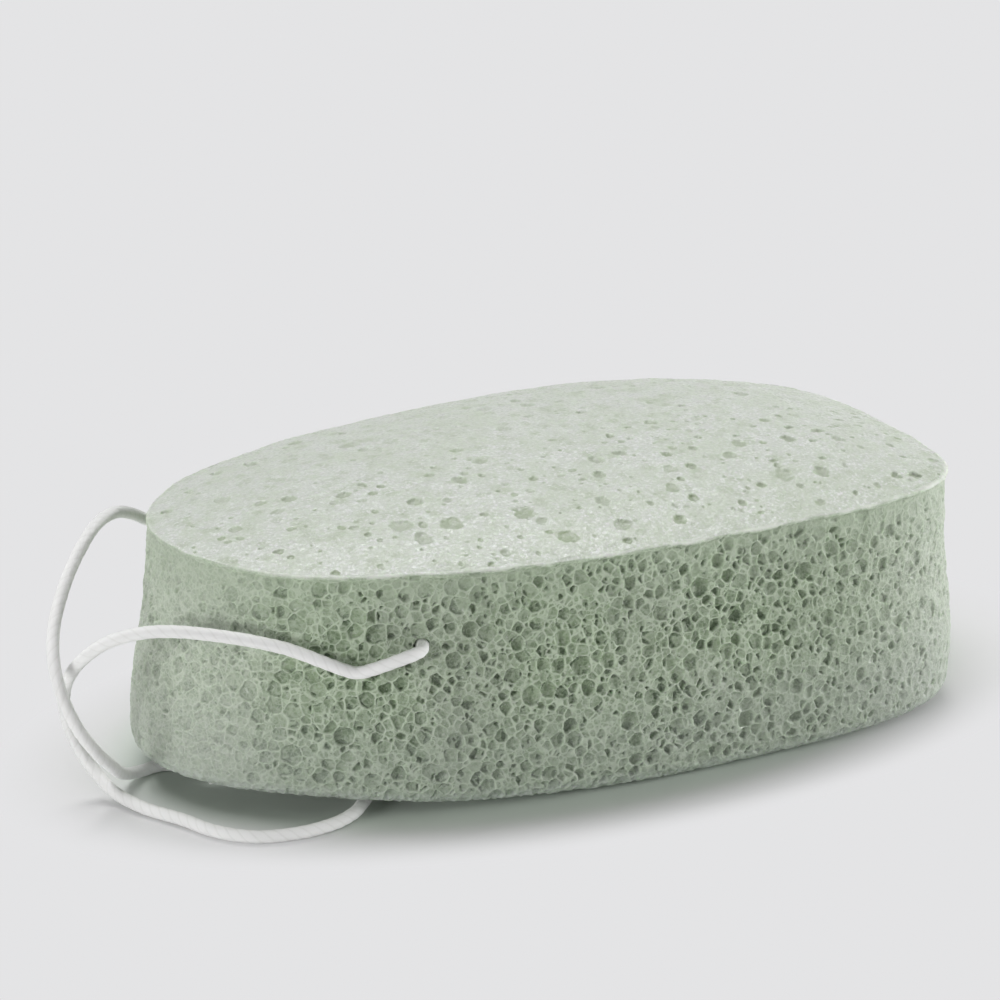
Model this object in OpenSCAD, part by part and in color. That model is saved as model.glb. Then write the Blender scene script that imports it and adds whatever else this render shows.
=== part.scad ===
// Konjac sponge on a cotton hanging cord.
// The sponge is one piece of open foam, cut from a block with a domed top skin.
// A cross hole carries the cord, whose two ends meet in a reef knot under the raised end.
// Axes: X along the sponge, +Y away from the front, +Z up. Origin: under the sponge's middle.

/* [Sponge] */
// Length of the sponge's top rim from end to end
sponge_l = 119.4; // [100:0.2:140]
// Width of the sponge from front to back
sponge_w = 71; // [60:1:85]
// Height of the top skin's rim above the rest face
rim_h = 35.7; // [30:0.1:42]
// Rise of the domed top above its rim
crown_h = 5.4; // [2:0.1:8]
// How far the widest place lies towards the blunt end
wide_x = 11.4; // [0:0.1:16]
// How far the cut wall bulges out, most at a quarter of its height
wall_bulge = 1.15; // [0:0.05:1.5]

/* [Edges] */
// Radius of the bottom edge
base_round = 2.4; // [1:0.1:4]
// Height of the lip where the top skin ends
lip_h = 0.8; // [0.4:0.1:1.5]
// How far the lip stands out of the cut wall
lip_out = 0.35; // [0.1:0.05:0.8]

/* [Underside] */
// Length of the flat patch that the sponge rests on
foot_l = 66; // [50:1:68]
// Width of the flat patch
foot_w = 50; // [36:1:54]
// Middle of the flat patch, towards the blunt end
foot_x = 14; // [12:0.5:16]
// Lift of the underside at twice the patch's reach
belly_h = 2.2; // [1.8:0.1:3]
// Height of the hollow over the knot and the cord
hollow_h = 5; // [4.8:0.1:5.8]
// Radius of that hollow
hollow_r = 25; // [23:0.5:26]
// Middle of the hollow along the sponge, from the sponge's middle
hollow_x = -37; // [-39:0.5:-36]
// Middle of the hollow across the sponge
hollow_y = -8; // [-9:0.5:-7]

/* [Upturned nose] */
// Length of the narrow end that bends up
nose_l = 17.5; // [10:0.5:30]
// Rise of the narrow end's tip
nose_rise = 0.9; // [0:0.1:2]

/* [Open bubbles] */
// Mean radius of the large bubbles that the cut wall opens
bubble_r = 1.7; // [1.4:0.1:1.9]
// Depth of the open bubbles
bubble_deep = 1.4; // [1:0.1:1.8]

/* [Cord and its hole] */
// Diameter of the cotton cord
cord_d = 1.8; // [1.4:0.1:2]
// Clearance round the cord in its hole
hole_gap = 0.3; // [0.1:0.05:0.5]
// Place of the cross hole along the sponge
hole_x = -29.5; // [-36:0.5:-22]
// Height of the cross hole
hole_z = 25; // [18:0.5:28]
// Radius of the drawn-in dimple at each mouth
dimple_r = 2.6; // [2:0.1:3.5]
// Depth of the dimple
dimple_deep = 2.4; // [1.6:0.1:3.5]
// How far inside its mouths the cord starts to bend
bend_in = 2; // [1:0.1:2.2]

/* [Reef knot] */
// Gap between the cords where they cross
knot_gap = 0.6; // [0.55:0.01:0.8]
// Half of the distance between the two crossings of each bight
bight_reach = 2.3; // [2:0.1:3]
// How far each bight bulges past that
bight_bulge = 2.8; // [2.6:0.1:3.4]
// Half of the width of each bight
bight_w = 4; // [3.9:0.1:4.6]
// Length of each tail past the knot
tail_l = 4; // [3:0.5:5.5]

/* [Hidden] */

foam_green = [0.72, 0.79, 0.70];
cotton_white = [0.95, 0.95, 0.94];

// Superellipse powers of the outline's quarters: front left, front right, rear right, rear left
corner_shares = [2, 4.6, 2.2, 2];
// Power of the dome's slope
dome_share = 2.8;
// Rings as shares of the way from the rest patch to the base edge
belly_shares = [0, 0.24, 0.44, 0.62, 0.8, 0.92, 1];
// Rings as shares of the wall's height
wall_shares = [0.25, 0.62];
// Rings as shares of the way from the top's middle to its rim
dome_shares = [0.985, 0.94, 0.85, 0.7, 0.5, 0.26];
// How much of the hollow is gone at the base edge, as a share
hollow_edge_share = 0.65;
hollow_power = 10;
// Open bubbles round the wall in each row, and the rows as shares of the wall's height
bubbles_around = 24;
bubble_rows = [0.21, 0.48, 0.77];
// Width of a bubble's bottom as a share of its mouth
bubble_narrow = 0.5;
// Large pores of the top skin: place along and across, radius
top_pores = [[-10.5, -22, 1.75], [-21, -20.5, 1.7], [-26, -22, 1.3], [-27.5, -17.5, 1.5], [-30, -5, 1.2],
    [-14, -9.5, 1.2], [1, -29.5, 1.3], [-7.5, -29.5, 1.5], [1, -23.5, 1.2], [29.5, -25.5, 1.5],
    [35.5, -26, 1.4], [6.5, -11.5, 1.2], [28.5, -14.5, 1.2], [36.5, -15, 1.2], [-44, 5.5, 1.2],
    [-20, 14, 1.4], [4, 18, 1.3], [24, 20, 1.5], [42, 8, 1.3], [-34, 18, 1.2]];
// Steps round the outline and round the bottom edge
around_n = 56;
round_n = 3;
// Sides of the cord's tube, and of the tube in the knot
cord_sides = 8;
knot_sides = 6;

// Outline of the sponge seen from above, moved in by inset
function quarter(c, s) = s < 0 ? (c < 0 ? 0 : 1) : (c < 0 ? 3 : 2);
function half_l(c) = sponge_l / 2 - (c < 0 ? -wide_x : wide_x);
function outline(t, inset) =
    let (c = cos(t), s = sin(t), p = 2 / corner_shares[quarter(c, s)])
    [wide_x + (half_l(c) - inset) * sign(c) * pow(abs(c), p),
     (sponge_w / 2 - inset) * sign(s) * pow(abs(s), p)];
function wall_inset(z) = lip_out - wall_bulge * pow(cos(180 * min(0.5, abs(z / rim_h - 0.26))), 2);

// Lift of the underside outside its rest patch, and the hollow over the knot
function reach_of(p) = norm([(p[0] - foot_x) * 2 / foot_l, p[1] * 2 / foot_w]);
function lift(p) = belly_h * pow(max(0, reach_of(p) - 1), 2);
function hollow(p) =
    let (d = norm([p[0] - hollow_x, p[1] - hollow_y]) / hollow_r)
    hollow_h * pow(1 - min(1, d * d), 2);

// The narrow end curls up, more towards its tip, and leans back with height
nose_from = nose_l - sponge_l / 2;
function curl(x) = max(0, nose_from - x) / nose_l;
function place(p, z, low, extra) =
    let (k = curl(p[0]), turn = k * 2 * nose_rise / nose_l * 180 / PI)
    [p[0] + sin(turn) * z, p[1], cos(turn) * z + (1 - low) * nose_rise * k * k + low * lift(p) + extra];

// Rings of the sponge, each a list of points round its outline
turns = [for (i = [0 : around_n - 1]) i * 360 / around_n];
wall_top = rim_h - lip_h;
function patch(t) = [foot_x + foot_l / 2 * cos(t), foot_w / 2 * sin(t)];
function belly_ring(f) = [for (t = turns)
    let (p = patch(t) * (1 - f) + outline(t, base_round + wall_inset(0)) * f)
    place(p, 0, 1, hollow(p) * (1 - hollow_edge_share * pow(f, hollow_power)))];
function base_ring(a) = [for (t = turns)
    let (z = base_round * (1 - cos(a)))
    place(outline(t, wall_inset(z) + base_round * (1 - sin(a))), z, 1,
          hollow(outline(t, 0)) * (1 - hollow_edge_share) * cos(a))];
function wall_ring(f) = [for (t = turns)
    let (z = base_round + (wall_top - base_round) * f)
    place(outline(t, wall_inset(z)), z, 1 - f, 0)];
function rim_ring(inset, z) = [for (t = turns) place(outline(t, inset), z, 0, 0)];
function dome_ring(rho) = [for (t = turns)
    let (edge = outline(t, 0), p = [wide_x + (edge[0] - wide_x) * rho, edge[1] * rho])
    place(p, rim_h + crown_h * (1 - pow(rho, dome_share)), 0, 0)];
rings = concat(
    [for (f = belly_shares) belly_ring(f)],
    [for (i = [1 : round_n]) base_ring(90 * i / round_n)],
    [for (f = wall_shares) wall_ring(f)],
    [wall_ring(1), rim_ring(0, wall_top), rim_ring(0, rim_h)],
    [for (rho = dome_shares) dome_ring(rho)]);

// The sponge is moved along X so that its box is centred on the origin
ring_xs = [for (ring = rings) for (p = ring) p[0]];
mid_x = (min(ring_xs) + max(ring_xs)) / 2;
function moved(p) = [p[0] - mid_x, p[1], p[2]];

// Closed skin over rings of equal length, with a point at each end
function skin_faces(rows, n) = concat(
    [for (i = [0 : n - 1]) [0, 1 + i, 1 + (i + 1) % n]],
    [for (r = [0 : rows - 2]) for (i = [0 : n - 1]) let (a = 1 + r * n, j = (i + 1) % n)
        [a + i, a + n + i, a + j]],
    [for (r = [0 : rows - 2]) for (i = [0 : n - 1]) let (a = 1 + r * n, j = (i + 1) % n)
        [a + j, a + n + i, a + n + j]],
    [for (i = [0 : n - 1]) let (a = 1 + (rows - 1) * n) [a + n, a + (i + 1) % n, a + i]]);

module foam_block() {
    low = [foot_x, 0, 0];
    high = [wide_x, 0, rim_h + crown_h];
    points = concat([moved(low)], [for (ring = rings) for (p = ring) moved(p)], [moved(high)]);
    polyhedron(points, skin_faces(len(rings), around_n));
}

// Half of the sponge's width at the cross hole, which is in the left half
function left_half_y(x) =
    let (p = corner_shares[0], a = sponge_l / 2 + wide_x)
    (sponge_w / 2 - lip_out) * pow(1 - pow(abs((x + mid_x - wide_x) / a), p), 1 / p);
mouth_y = left_half_y(hole_x);
hole_r = cord_d / 2 + hole_gap;

// Cone of the dimple at one mouth of the cross hole, side -1 front or 1 rear
module dimple(side) {
    translate([hole_x, side * (mouth_y - dimple_deep), hole_z])
        rotate([-90 * side, 0, 0])
            cylinder(h = 2 * dimple_deep, r1 = hole_r, r2 = 2 * dimple_r - hole_r, $fn = 32);
}

// Places of the open bubbles: evenly round the wall in staggered rows, each a little off
wall_steps = [for (t = [0 : 4 : 360]) t];
function wall_run(i) = i == 0 ? 0 :
    wall_run(i - 1) + norm(outline(wall_steps[i], lip_out) - outline(wall_steps[i - 1], lip_out));
wall_runs = [for (i = [0 : len(wall_steps) - 1]) [wall_run(i), wall_steps[i]]];
wall_round = wall_runs[len(wall_runs) - 1][0];
function jitter(i, a) = sin(a * (i + 1));
function bubble_turn(i) =
    let (k = i % bubbles_around, row = floor(i / bubbles_around),
         share = (k + 0.5 + row % 2 / 2 + 0.24 * jitter(i, 137.5)) / bubbles_around)
    lookup(wall_round * (share - floor(share)), wall_runs);
function bubble_share(i) = bubble_rows[floor(i / bubbles_around)] + 0.06 * jitter(i, 222.5);
function bubble_size(i) = bubble_r * (1 + 0.22 * jitter(i, 81.7));
function clear_of_mouth(p) = norm([p[0] - hole_x, p[2] - hole_z]) > dimple_r + 1.5 * bubble_r;

// Six-sided bowl, its mouth of radius r at the origin and facing up
module bowl(r, deep, out) {
    narrow = bubble_narrow * r;
    translate([0, 0, -deep])
        cylinder(h = deep + out, r1 = narrow, r2 = r + (r - narrow) * out / deep, $fn = 6);
}

module open_bubbles() {
    for (i = [0 : bubbles_around * len(bubble_rows) - 1]) {
        t = bubble_turn(i);
        way = outline(t + 1, lip_out) - outline(t - 1, lip_out);
        f = bubble_share(i);
        z = base_round + (wall_top - base_round) * f;
        p = moved(place(outline(t, wall_inset(z)), z, 1 - f, 0));
        if (clear_of_mouth(p))
            translate(p)
                rotate([0, 90, atan2(-way[0], way[1])])
                    bowl(bubble_size(i), bubble_deep, 0.8);
    }
}

// Height of the domed top over a place on it
function share_out(p) =
    let (n = corner_shares[quarter(p[0] - wide_x, p[1])])
    pow(pow(abs(p[0] - wide_x) / half_l(p[0] - wide_x), n) + pow(abs(p[1]) * 2 / sponge_w, n), 1 / n);
function top_z(p) = rim_h + crown_h * (1 - pow(share_out(p), dome_share));

module open_pores() {
    for (p = top_pores)
        translate([p[0] - mid_x, p[1], top_z(p)])
            bowl(p[2], 0.75 * p[2], 0.6);
}

module sponge_body() {
    color(foam_green)
        difference() {
            foam_block();
            open_bubbles();
            open_pores();
            translate([hole_x, sponge_w / 2, hole_z])
                rotate([90, 0, 0])
                    cylinder(h = sponge_w, r = hole_r, $fn = 48);
            dimple(-1);
            dimple(1);
        }
}

// Tube swept along points, its two ends square to the headings in ends
function unit(v) = v / norm(v);
function headings(pts, ends) = [for (i = [0 : len(pts) - 1])
    i == 0 ? ends[0] : i == len(pts) - 1 ? ends[1] : unit(pts[i + 1] - pts[i - 1])];
function sides_along(ways, i, side) =
    i == len(ways) ? [] :
    let (now = unit(side - (side * ways[i]) * ways[i])) concat([now], sides_along(ways, i + 1, now));
module tube(pts, d, n, side, ends) {
    ways = headings(pts, ends);
    across = sides_along(ways, 0, side);
    skin = [for (i = [0 : len(pts) - 1]) let (a = across[i], b = cross(ways[i], a))
        for (k = [0 : n - 1]) pts[i] + d / 2 * (cos(360 * k / n) * a + sin(360 * k / n) * b)];
    polyhedron(concat([pts[0]], skin, [pts[len(pts) - 1]]), skin_faces(len(pts), n));
}

// Smooth run through route points, with a ring half way between each two
function halfway(a, b, c, d) = (9 * (b + c) - a - d) / 16;
function smooth_run(p) = concat(
    [for (i = [0 : len(p) - 2]) each [p[i],
        halfway(p[max(i - 1, 0)], p[i], p[i + 1], p[min(i + 2, len(p) - 1)])]],
    [p[len(p) - 1]]);

// Reef knot, lying on the rest surface. Its long axis runs from the front strand to the rear one.
knot_at = [-41, -6];
knot_turn = 160;
cross_h = (cord_d + knot_gap) / 2;
leg_in = cross_h;
leg_run = bight_reach + bight_bulge + cord_d;
function glide(f) = let (g = min(1, max(0, f))) g * g * (3 - 2 * g);
function leg_w(s) = leg_in + (bight_w - leg_in) * glide((s + bight_reach) / (2 * bight_reach));
function knot_rise(s) = -cross_h * cos(180 * min(1, abs(s) / (bight_reach + bight_bulge / 2)));
// Stations of one strand's leg, from outside to the start of its bight
leg_stations = [for (i = [0 : 8]) -leg_run + (leg_run + bight_reach) * i / 8];
bight_angles = [for (i = [1 : 8]) 90 - 20 * i];
function bight_side(s, w) = [s, w, knot_rise(s)];
function strand(tail_z) = concat(
    [for (s = leg_stations) bight_side(s, leg_w(s))],
    [for (a = bight_angles) bight_side(bight_reach + bight_bulge * cos(a), bight_w * sin(a))],
    [for (i = [8 : -1 : 0]) bight_side(leg_stations[i], -leg_w(leg_stations[i]))],
    [[-leg_run - tail_l / 2, -leg_in - cord_d / 4, (knot_rise(leg_run) + tail_z) / 2],
     [-leg_run - tail_l, -leg_in - cord_d / 2, tail_z]]);
function knot_place(p) =
    [knot_at[0] + p[0] * cos(knot_turn) + p[1] * sin(knot_turn),
     knot_at[1] + p[0] * sin(knot_turn) - p[1] * cos(knot_turn),
     p[2] + cross_h + cord_d / 2];
// The front strand runs over the other's bight, and the rear strand under. Both tails lie down.
front_strand = [for (p = strand(-cross_h)) knot_place(p)];
rear_strand = [for (p = strand(cross_h)) knot_place([-p[0], p[1], -p[2]])];
function way_in(p) = unit(p[1] - p[0]);
function way_out(p) = unit(p[len(p) - 1] - p[len(p) - 2]);

module knot() {
    color(cotton_white) {
        tube(front_strand, cord_d, knot_sides, [0, 0, 1], [way_in(front_strand), way_out(front_strand)]);
        tube(rear_strand, cord_d, knot_sides, [0, 0, 1], [way_in(rear_strand), way_out(rear_strand)]);
    }
}

// Least gap between the two strands and of a strand to itself, measured on points
function gaps(a, b, skip) = [for (i = [0 : len(a) - 1]) for (j = [0 : len(b) - 1])
    if (abs(i - j) > skip) norm(a[i] - b[j]) - cord_d];
echo(knot_gap_between = min(gaps(front_strand, rear_strand, -1)));
echo(knot_gap_self = min(gaps(front_strand, front_strand, 5)));

// Routes of the free stretches, in millimetres, from the mouths of the hole to the knot
lie_z = 1;
bend_y = mouth_y - bend_in;
front_mouth = [hole_x, -bend_y, hole_z];
rear_mouth = [hole_x, bend_y, hole_z];
front_route = concat([front_mouth], [
    [-29.86, -28.43, 24.95], [-30.86, -29.74, 24.9], [-32.3, -30.5, 24.9], [-34, -30.5, 24.6], [-36, -29.6, 23.8],
    [-37.8, -28.4, 23], [-39.3, -27.3, 22.5], [-41, -26.2, 22.95], [-43.5, -24.8, 24.1], [-46, -23.5, 25.3],
    [-48.5, -22.3, 26.3], [-53, -20.1, 27.5], [-57.5, -17.7, 28.3], [-61.3, -15.4, 28.6], [-64.8, -13, 28.2],
    [-68.6, -9.8, 26.4], [-71.1, -6.2, 22.9], [-72.2, -3.6, 19.4], [-72.2, -1.8, 15.6],
    [-71.2, -0.6, 11.6], [-69.6, 0, 7.6], [-68, -0.8, 4.4], [-66.4, -4.2, 1.8],
    [-64.2, -9.8, lie_z], [-61.2, -15.8, lie_z], [-58.6, -22, lie_z], [-54.6, -26.2, lie_z],
    [-49, -27.8, lie_z], [-43.6, -27.4, lie_z], [-39.4, -25.4, lie_z], [-36.4, -22.4, lie_z],
    [-33.6, -19.2, lie_z], [-31.2, -15.8, lie_z], [-29.7, -12.2, 1.3], [-30.5, -8.8, 2.3]],
    [front_strand[0]]);
rear_route = concat([rear_mouth], [
    [-29.86, 28.43, 25], [-30.86, 29.74, 25], [-32.4, 30.5, 25.1], [-34.6, 30.8, 25.3], [-37.4, 30.6, 25.6],
    [-40.8, 29.8, 26.2], [-44.4, 28, 27.4], [-48, 25.4, 29.6], [-51.6, 21.8, 32.2], [-55.6, 18, 34.2], [-60.4, 13.2, 34.7],
    [-65.4, 7.8, 33], [-69.6, 3, 30.2], [-73, -1.6, 26.8], [-74.8, -5.6, 23.2],
    [-74.8, -8.4, 19], [-73.2, -9, 14.6], [-70.4, -8, 10.2], [-67, -5.4, 6.2],
    [-63.6, -1.2, 2.8], [-60, 2, 1.1], [-56.2, 2.8, lie_z], [-52, 0.6, lie_z]],
    [rear_strand[0]]);
front_run = smooth_run(front_route);
rear_run = smooth_run(rear_route);
function run_length(p) = len(p) < 2 ? 0 : norm(p[1] - p[0]) + run_length([for (i = [1 : len(p) - 1]) p[i]]);
echo(mid_x = mid_x, mouth_y = mouth_y, bend_y = bend_y);
echo(front_length = run_length(front_run));
echo(rear_length = run_length(rear_run));

// The stretch that the sponge holds
module cord_inside() {
    color(cotton_white)
        translate([hole_x, bend_y, hole_z])
            rotate([90, 0, 0])
                cylinder(h = 2 * bend_y, d = cord_d, $fn = 32);
}

module cord_front() {
    color(cotton_white)
        tube(front_run, cord_d, cord_sides, [1, 0, 0], [[0, -1, 0], way_in(front_strand)]);
}

module cord_rear() {
    color(cotton_white)
        tube(rear_run, cord_d, cord_sides, [1, 0, 0], [[0, 1, 0], way_in(rear_strand)]);
}

sponge_body();
cord_inside();
cord_front();
cord_rear();
knot();
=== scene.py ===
"""Looks of the konjac sponge on its cotton hanging cord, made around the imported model."""
import math

import bpy
import numpy as np
from mathutils import Matrix, Vector


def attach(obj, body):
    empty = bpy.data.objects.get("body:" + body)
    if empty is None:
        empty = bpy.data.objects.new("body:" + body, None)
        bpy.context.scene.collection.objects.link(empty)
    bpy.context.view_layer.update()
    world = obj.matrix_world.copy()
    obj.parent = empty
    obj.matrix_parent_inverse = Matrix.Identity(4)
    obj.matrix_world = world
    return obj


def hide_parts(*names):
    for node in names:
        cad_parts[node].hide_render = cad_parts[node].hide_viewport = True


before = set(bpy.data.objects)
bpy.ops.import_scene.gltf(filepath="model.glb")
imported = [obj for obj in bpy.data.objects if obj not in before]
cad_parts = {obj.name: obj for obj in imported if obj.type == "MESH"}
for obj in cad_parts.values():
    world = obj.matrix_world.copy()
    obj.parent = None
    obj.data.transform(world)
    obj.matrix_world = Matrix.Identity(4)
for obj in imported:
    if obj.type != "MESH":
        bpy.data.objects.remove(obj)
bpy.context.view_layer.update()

MM = 0.001
SEED = 20417
rng = np.random.default_rng(SEED)


def smooth(x, low, high):
    """0 below low, 1 above high, and a smooth rise between."""
    f = np.clip((x - low) / (high - low), 0, 1)
    return f * f * (3 - 2 * f)


# ---------------------------------------------------------------- camera

CAMERA_TURN, CAMERA_RISE, CAMERA_ROLL = (math.radians(a) for a in (-27.3, 19.7, -0.59))
CAMERA_AWAY = 0.606
LOOK_ALONG, LOOK_HEIGHT = -0.00277, 0.0321
LENS_MM = 150.84


def add_camera():
    sin_t, cos_t = math.sin(CAMERA_TURN), math.cos(CAMERA_TURN)
    back = Vector((sin_t * math.cos(CAMERA_RISE), -cos_t * math.cos(CAMERA_RISE), math.sin(CAMERA_RISE)))
    right = Vector((cos_t, sin_t, 0))
    up = back.cross(right)
    right = right * math.cos(CAMERA_ROLL) + up * math.sin(CAMERA_ROLL)
    up = back.cross(right)
    place = Vector((LOOK_ALONG * cos_t, LOOK_ALONG * sin_t, LOOK_HEIGHT)) + back * CAMERA_AWAY
    camera = bpy.data.objects.new("camera", bpy.data.cameras.new("camera"))
    bpy.context.scene.collection.objects.link(camera)
    camera.matrix_world = Matrix((
        (right.x, up.x, back.x, place.x),
        (right.y, up.y, back.y, place.y),
        (right.z, up.z, back.z, place.z),
        (0, 0, 0, 1)))
    camera.data.lens = LENS_MM
    camera.data.sensor_width = 36
    camera.data.clip_start, camera.data.clip_end = 0.01, 20
    bpy.context.scene.camera = camera


add_camera()
bpy.context.scene.view_settings.view_transform = "Standard"

# ---------------------------------------------------------------- small node helpers


def new_material(name):
    """A material with its Principled shader and its node tree, to which nodes are added."""
    material = bpy.data.materials.new(name)
    material.use_nodes = True
    tree = material.node_tree
    shader = next(n for n in tree.nodes if n.type == "BSDF_PRINCIPLED")
    return material, tree, shader


def add_node(tree, kind, values=(), **settings):
    """A node with its settings, and with values or links for its inputs, by name or place."""
    node = tree.nodes.new(kind)
    for key, value in settings.items():
        setattr(node, key, value)
    for key, value in dict(values).items():
        if isinstance(value, bpy.types.NodeSocket):
            tree.links.new(value, node.inputs[key])
        else:
            node.inputs[key].default_value = value
    return node


def mixed(tree, share, first, second):
    """Colour socket of first mixed with second by share."""
    return add_node(tree, "ShaderNodeMix", {0: share, 6: first, 7: second}, data_type="RGBA").outputs[2]


def ramp(tree, value, low, high, to_low=0.0, to_high=1.0):
    """Value socket mapped from low..high to to_low..to_high, clamped."""
    node = add_node(tree, "ShaderNodeMapRange", {0: value, 1: low, 2: high, 3: to_low, 4: to_high})
    node.interpolation_type = "SMOOTHSTEP"
    return node.outputs[0]


def sums(tree, kind, a, b=0.0):
    """Value socket of a math node."""
    return add_node(tree, "ShaderNodeMath", {0: a, 1: b}, operation=kind).outputs[0]


def noise(tree, place, scale, detail=2.0, rough=0.5):
    return add_node(tree, "ShaderNodeTexNoise", {"Vector": place, "Scale": scale, "Detail": detail,
                                                 "Roughness": rough}).outputs["Fac"]


def attribute(tree, name):
    return add_node(tree, "ShaderNodeAttribute", attribute_name=name).outputs["Fac"]


# ---------------------------------------------------------------- cotton cord

CORD_D = 1.8
LIE_Z = 1.0
HOLE_X, HOLE_Z, MOUTH_Y, BEND_IN = -29.5, 25.0, 28.86, 2.0
BEND_Y = MOUTH_Y - BEND_IN
FRONT_ROUTE = [
    (HOLE_X, -BEND_Y, HOLE_Z), (-29.86, -28.43, 24.95), (-30.86, -29.74, 24.9), (-32.3, -30.5, 24.9),
    (-34, -30.5, 24.6), (-36, -29.6, 23.8), (-37.8, -28.4, 23), (-39.3, -27.3, 22.5), (-41, -26.2, 22.95),
    (-43.5, -24.8, 24.1), (-46, -23.5, 25.3), (-48.5, -22.3, 26.3), (-53, -20.1, 27.5), (-57.5, -17.7, 28.3),
    (-61.3, -15.4, 28.6), (-64.8, -13, 28.2), (-68.6, -9.8, 26.4), (-71.1, -6.2, 22.9), (-72.2, -3.6, 19.4),
    (-72.2, -1.8, 15.6), (-71.2, -0.6, 11.6), (-69.6, 0, 7.6), (-68, -0.8, 4.4), (-66.4, -4.2, 1.8),
    (-64.2, -9.8, LIE_Z), (-61.2, -15.8, LIE_Z), (-58.6, -22, LIE_Z), (-54.6, -26.2, LIE_Z),
    (-49, -27.8, LIE_Z), (-43.6, -27.4, LIE_Z), (-39.4, -25.4, LIE_Z), (-36.4, -22.4, LIE_Z),
    (-33.6, -19.2, LIE_Z), (-31.2, -15.8, LIE_Z), (-29.7, -12.2, 1.3), (-30.5, -8.8, 2.3)]
REAR_ROUTE = [
    (HOLE_X, BEND_Y, HOLE_Z), (-29.86, 28.43, 25), (-30.86, 29.74, 25), (-32.4, 30.5, 25.1), (-34.6, 30.8, 25.3),
    (-37.4, 30.6, 25.6), (-40.8, 29.8, 26.2), (-44.4, 28, 27.4), (-48, 25.4, 29.6), (-51.6, 21.8, 32.2),
    (-55.6, 18, 34.2), (-60.4, 13.2, 34.7), (-65.4, 7.8, 33), (-69.6, 3, 30.2), (-73, -1.6, 26.8),
    (-74.8, -5.6, 23.2), (-74.8, -8.4, 19), (-73.2, -9, 14.6), (-70.4, -8, 10.2), (-67, -5.4, 6.2),
    (-63.6, -1.2, 2.8), (-60, 2, 1.1), (-56.2, 2.8, LIE_Z), (-52, 0.6, LIE_Z)]

KNOT_AT, KNOT_TURN, KNOT_GAP = (-41.0, -6.0), math.radians(160), 0.6
BIGHT_REACH, BIGHT_BULGE, BIGHT_W, TAIL_L = 2.3, 2.8, 4.0, 4.0
CROSS_H = (CORD_D + KNOT_GAP) / 2
LEG_RUN = BIGHT_REACH + BIGHT_BULGE + CORD_D


def strand(side):
    """One strand of the reef knot, in millimetres: its leg, its bight, its other leg and its tail."""
    def width(s):
        return CROSS_H + (BIGHT_W - CROSS_H) * float(smooth(s + BIGHT_REACH, 0, 2 * BIGHT_REACH))

    def rise(s):
        return -CROSS_H * math.cos(math.pi * min(1, abs(s) / (BIGHT_REACH + BIGHT_BULGE / 2)))

    stations = np.linspace(-LEG_RUN, BIGHT_REACH, 9)
    turns = np.radians(90 - 20 * np.arange(1, 9))
    bend = [(BIGHT_REACH + BIGHT_BULGE * math.cos(a), BIGHT_W * math.sin(a)) for a in turns]
    tail_z = -CROSS_H * side
    run = [(s, width(s), rise(s)) for s in stations] + [(s, w, rise(s)) for s, w in bend]
    run += [(s, -width(s), rise(s)) for s in stations[::-1]]
    run += [(-LEG_RUN - TAIL_L / 2, -CROSS_H - CORD_D / 4, (rise(LEG_RUN) + tail_z) / 2),
            (-LEG_RUN - TAIL_L, -CROSS_H - CORD_D / 2, tail_z)]
    sin_k, cos_k = math.sin(KNOT_TURN), math.cos(KNOT_TURN)
    return np.array([(KNOT_AT[0] + side * s * cos_k + w * sin_k,
                      KNOT_AT[1] + side * s * sin_k - w * cos_k,
                      side * z + CROSS_H + CORD_D / 2) for s, w, z in run])


def smooth_run(points, step):
    """Evenly spaced points on a smooth curve through points."""
    p = np.asarray(points, float)
    p = np.vstack([2 * p[0] - p[1], p, 2 * p[-1] - p[-2]])
    f = np.linspace(0, 1, 24, endpoint=False)[:, None]
    out = []
    for a, b, c, d in zip(p, p[1:], p[2:], p[3:]):
        out.append(b + 0.5 * f * (c - a + f * (2 * a - 5 * b + 4 * c - d + f * (3 * (b - c) + d - a))))
    out = np.vstack(out + [p[-2:-1]])
    gone = np.r_[0, np.cumsum(np.linalg.norm(np.diff(out, axis=0), axis=1))]
    at = np.linspace(0, gone[-1], max(8, int(round(gone[-1] / step))))
    return np.stack([np.interp(at, gone, out[:, k]) for k in range(3)], 1)


def carried_frames(points):
    """Heading, side and up at each point, carried along without twist."""
    heading = np.gradient(points, axis=0)
    heading /= np.linalg.norm(heading, axis=1)[:, None]
    side = np.cross(heading[0], (0.0, 0.1, 1.0))
    sides = []
    for way in heading:
        side = side - (side @ way) * way
        side /= np.linalg.norm(side)
        sides.append(side)
    sides = np.array(sides)
    return heading, sides, np.cross(heading, sides)


def new_mesh(name, verts, corners, sizes):
    """A smooth mesh from millimetre points, all faces' corners in a row and each face's size."""
    mesh = bpy.data.meshes.new(name)
    mesh.vertices.add(len(verts))
    mesh.vertices.foreach_set("co", (verts * MM).astype(np.float32).ravel())
    mesh.loops.add(len(corners))
    mesh.loops.foreach_set("vertex_index", corners.astype(np.int32))
    mesh.polygons.add(len(sizes))
    mesh.polygons.foreach_set("loop_start", np.r_[0, np.cumsum(sizes)[:-1]].astype(np.int32))
    mesh.polygons.foreach_set("use_smooth", np.ones(len(sizes), bool))
    mesh.update(calc_edges=True)
    return mesh


def set_values(mesh, name, values):
    mesh.attributes.new(name, "FLOAT", "POINT").data.foreach_set("value", values.astype(np.float32))


def riding(name, mesh):
    """An object of the mesh, riding on the sponge's body."""
    piece = bpy.data.objects.new(name, mesh)
    bpy.context.scene.collection.objects.link(piece)
    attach(piece, "root")
    return piece


PLIES, LAY_LENGTH, PLY_RELIEF = 3, 5.2, 0.05
CORD_SIDES, RING_STEP = 24, 0.28
# Unevenness of the cord, and how its tails fray out over their last stretch
WANDER, FRAY, FRAY_L = 0.014, 0.16, 1.6


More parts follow.
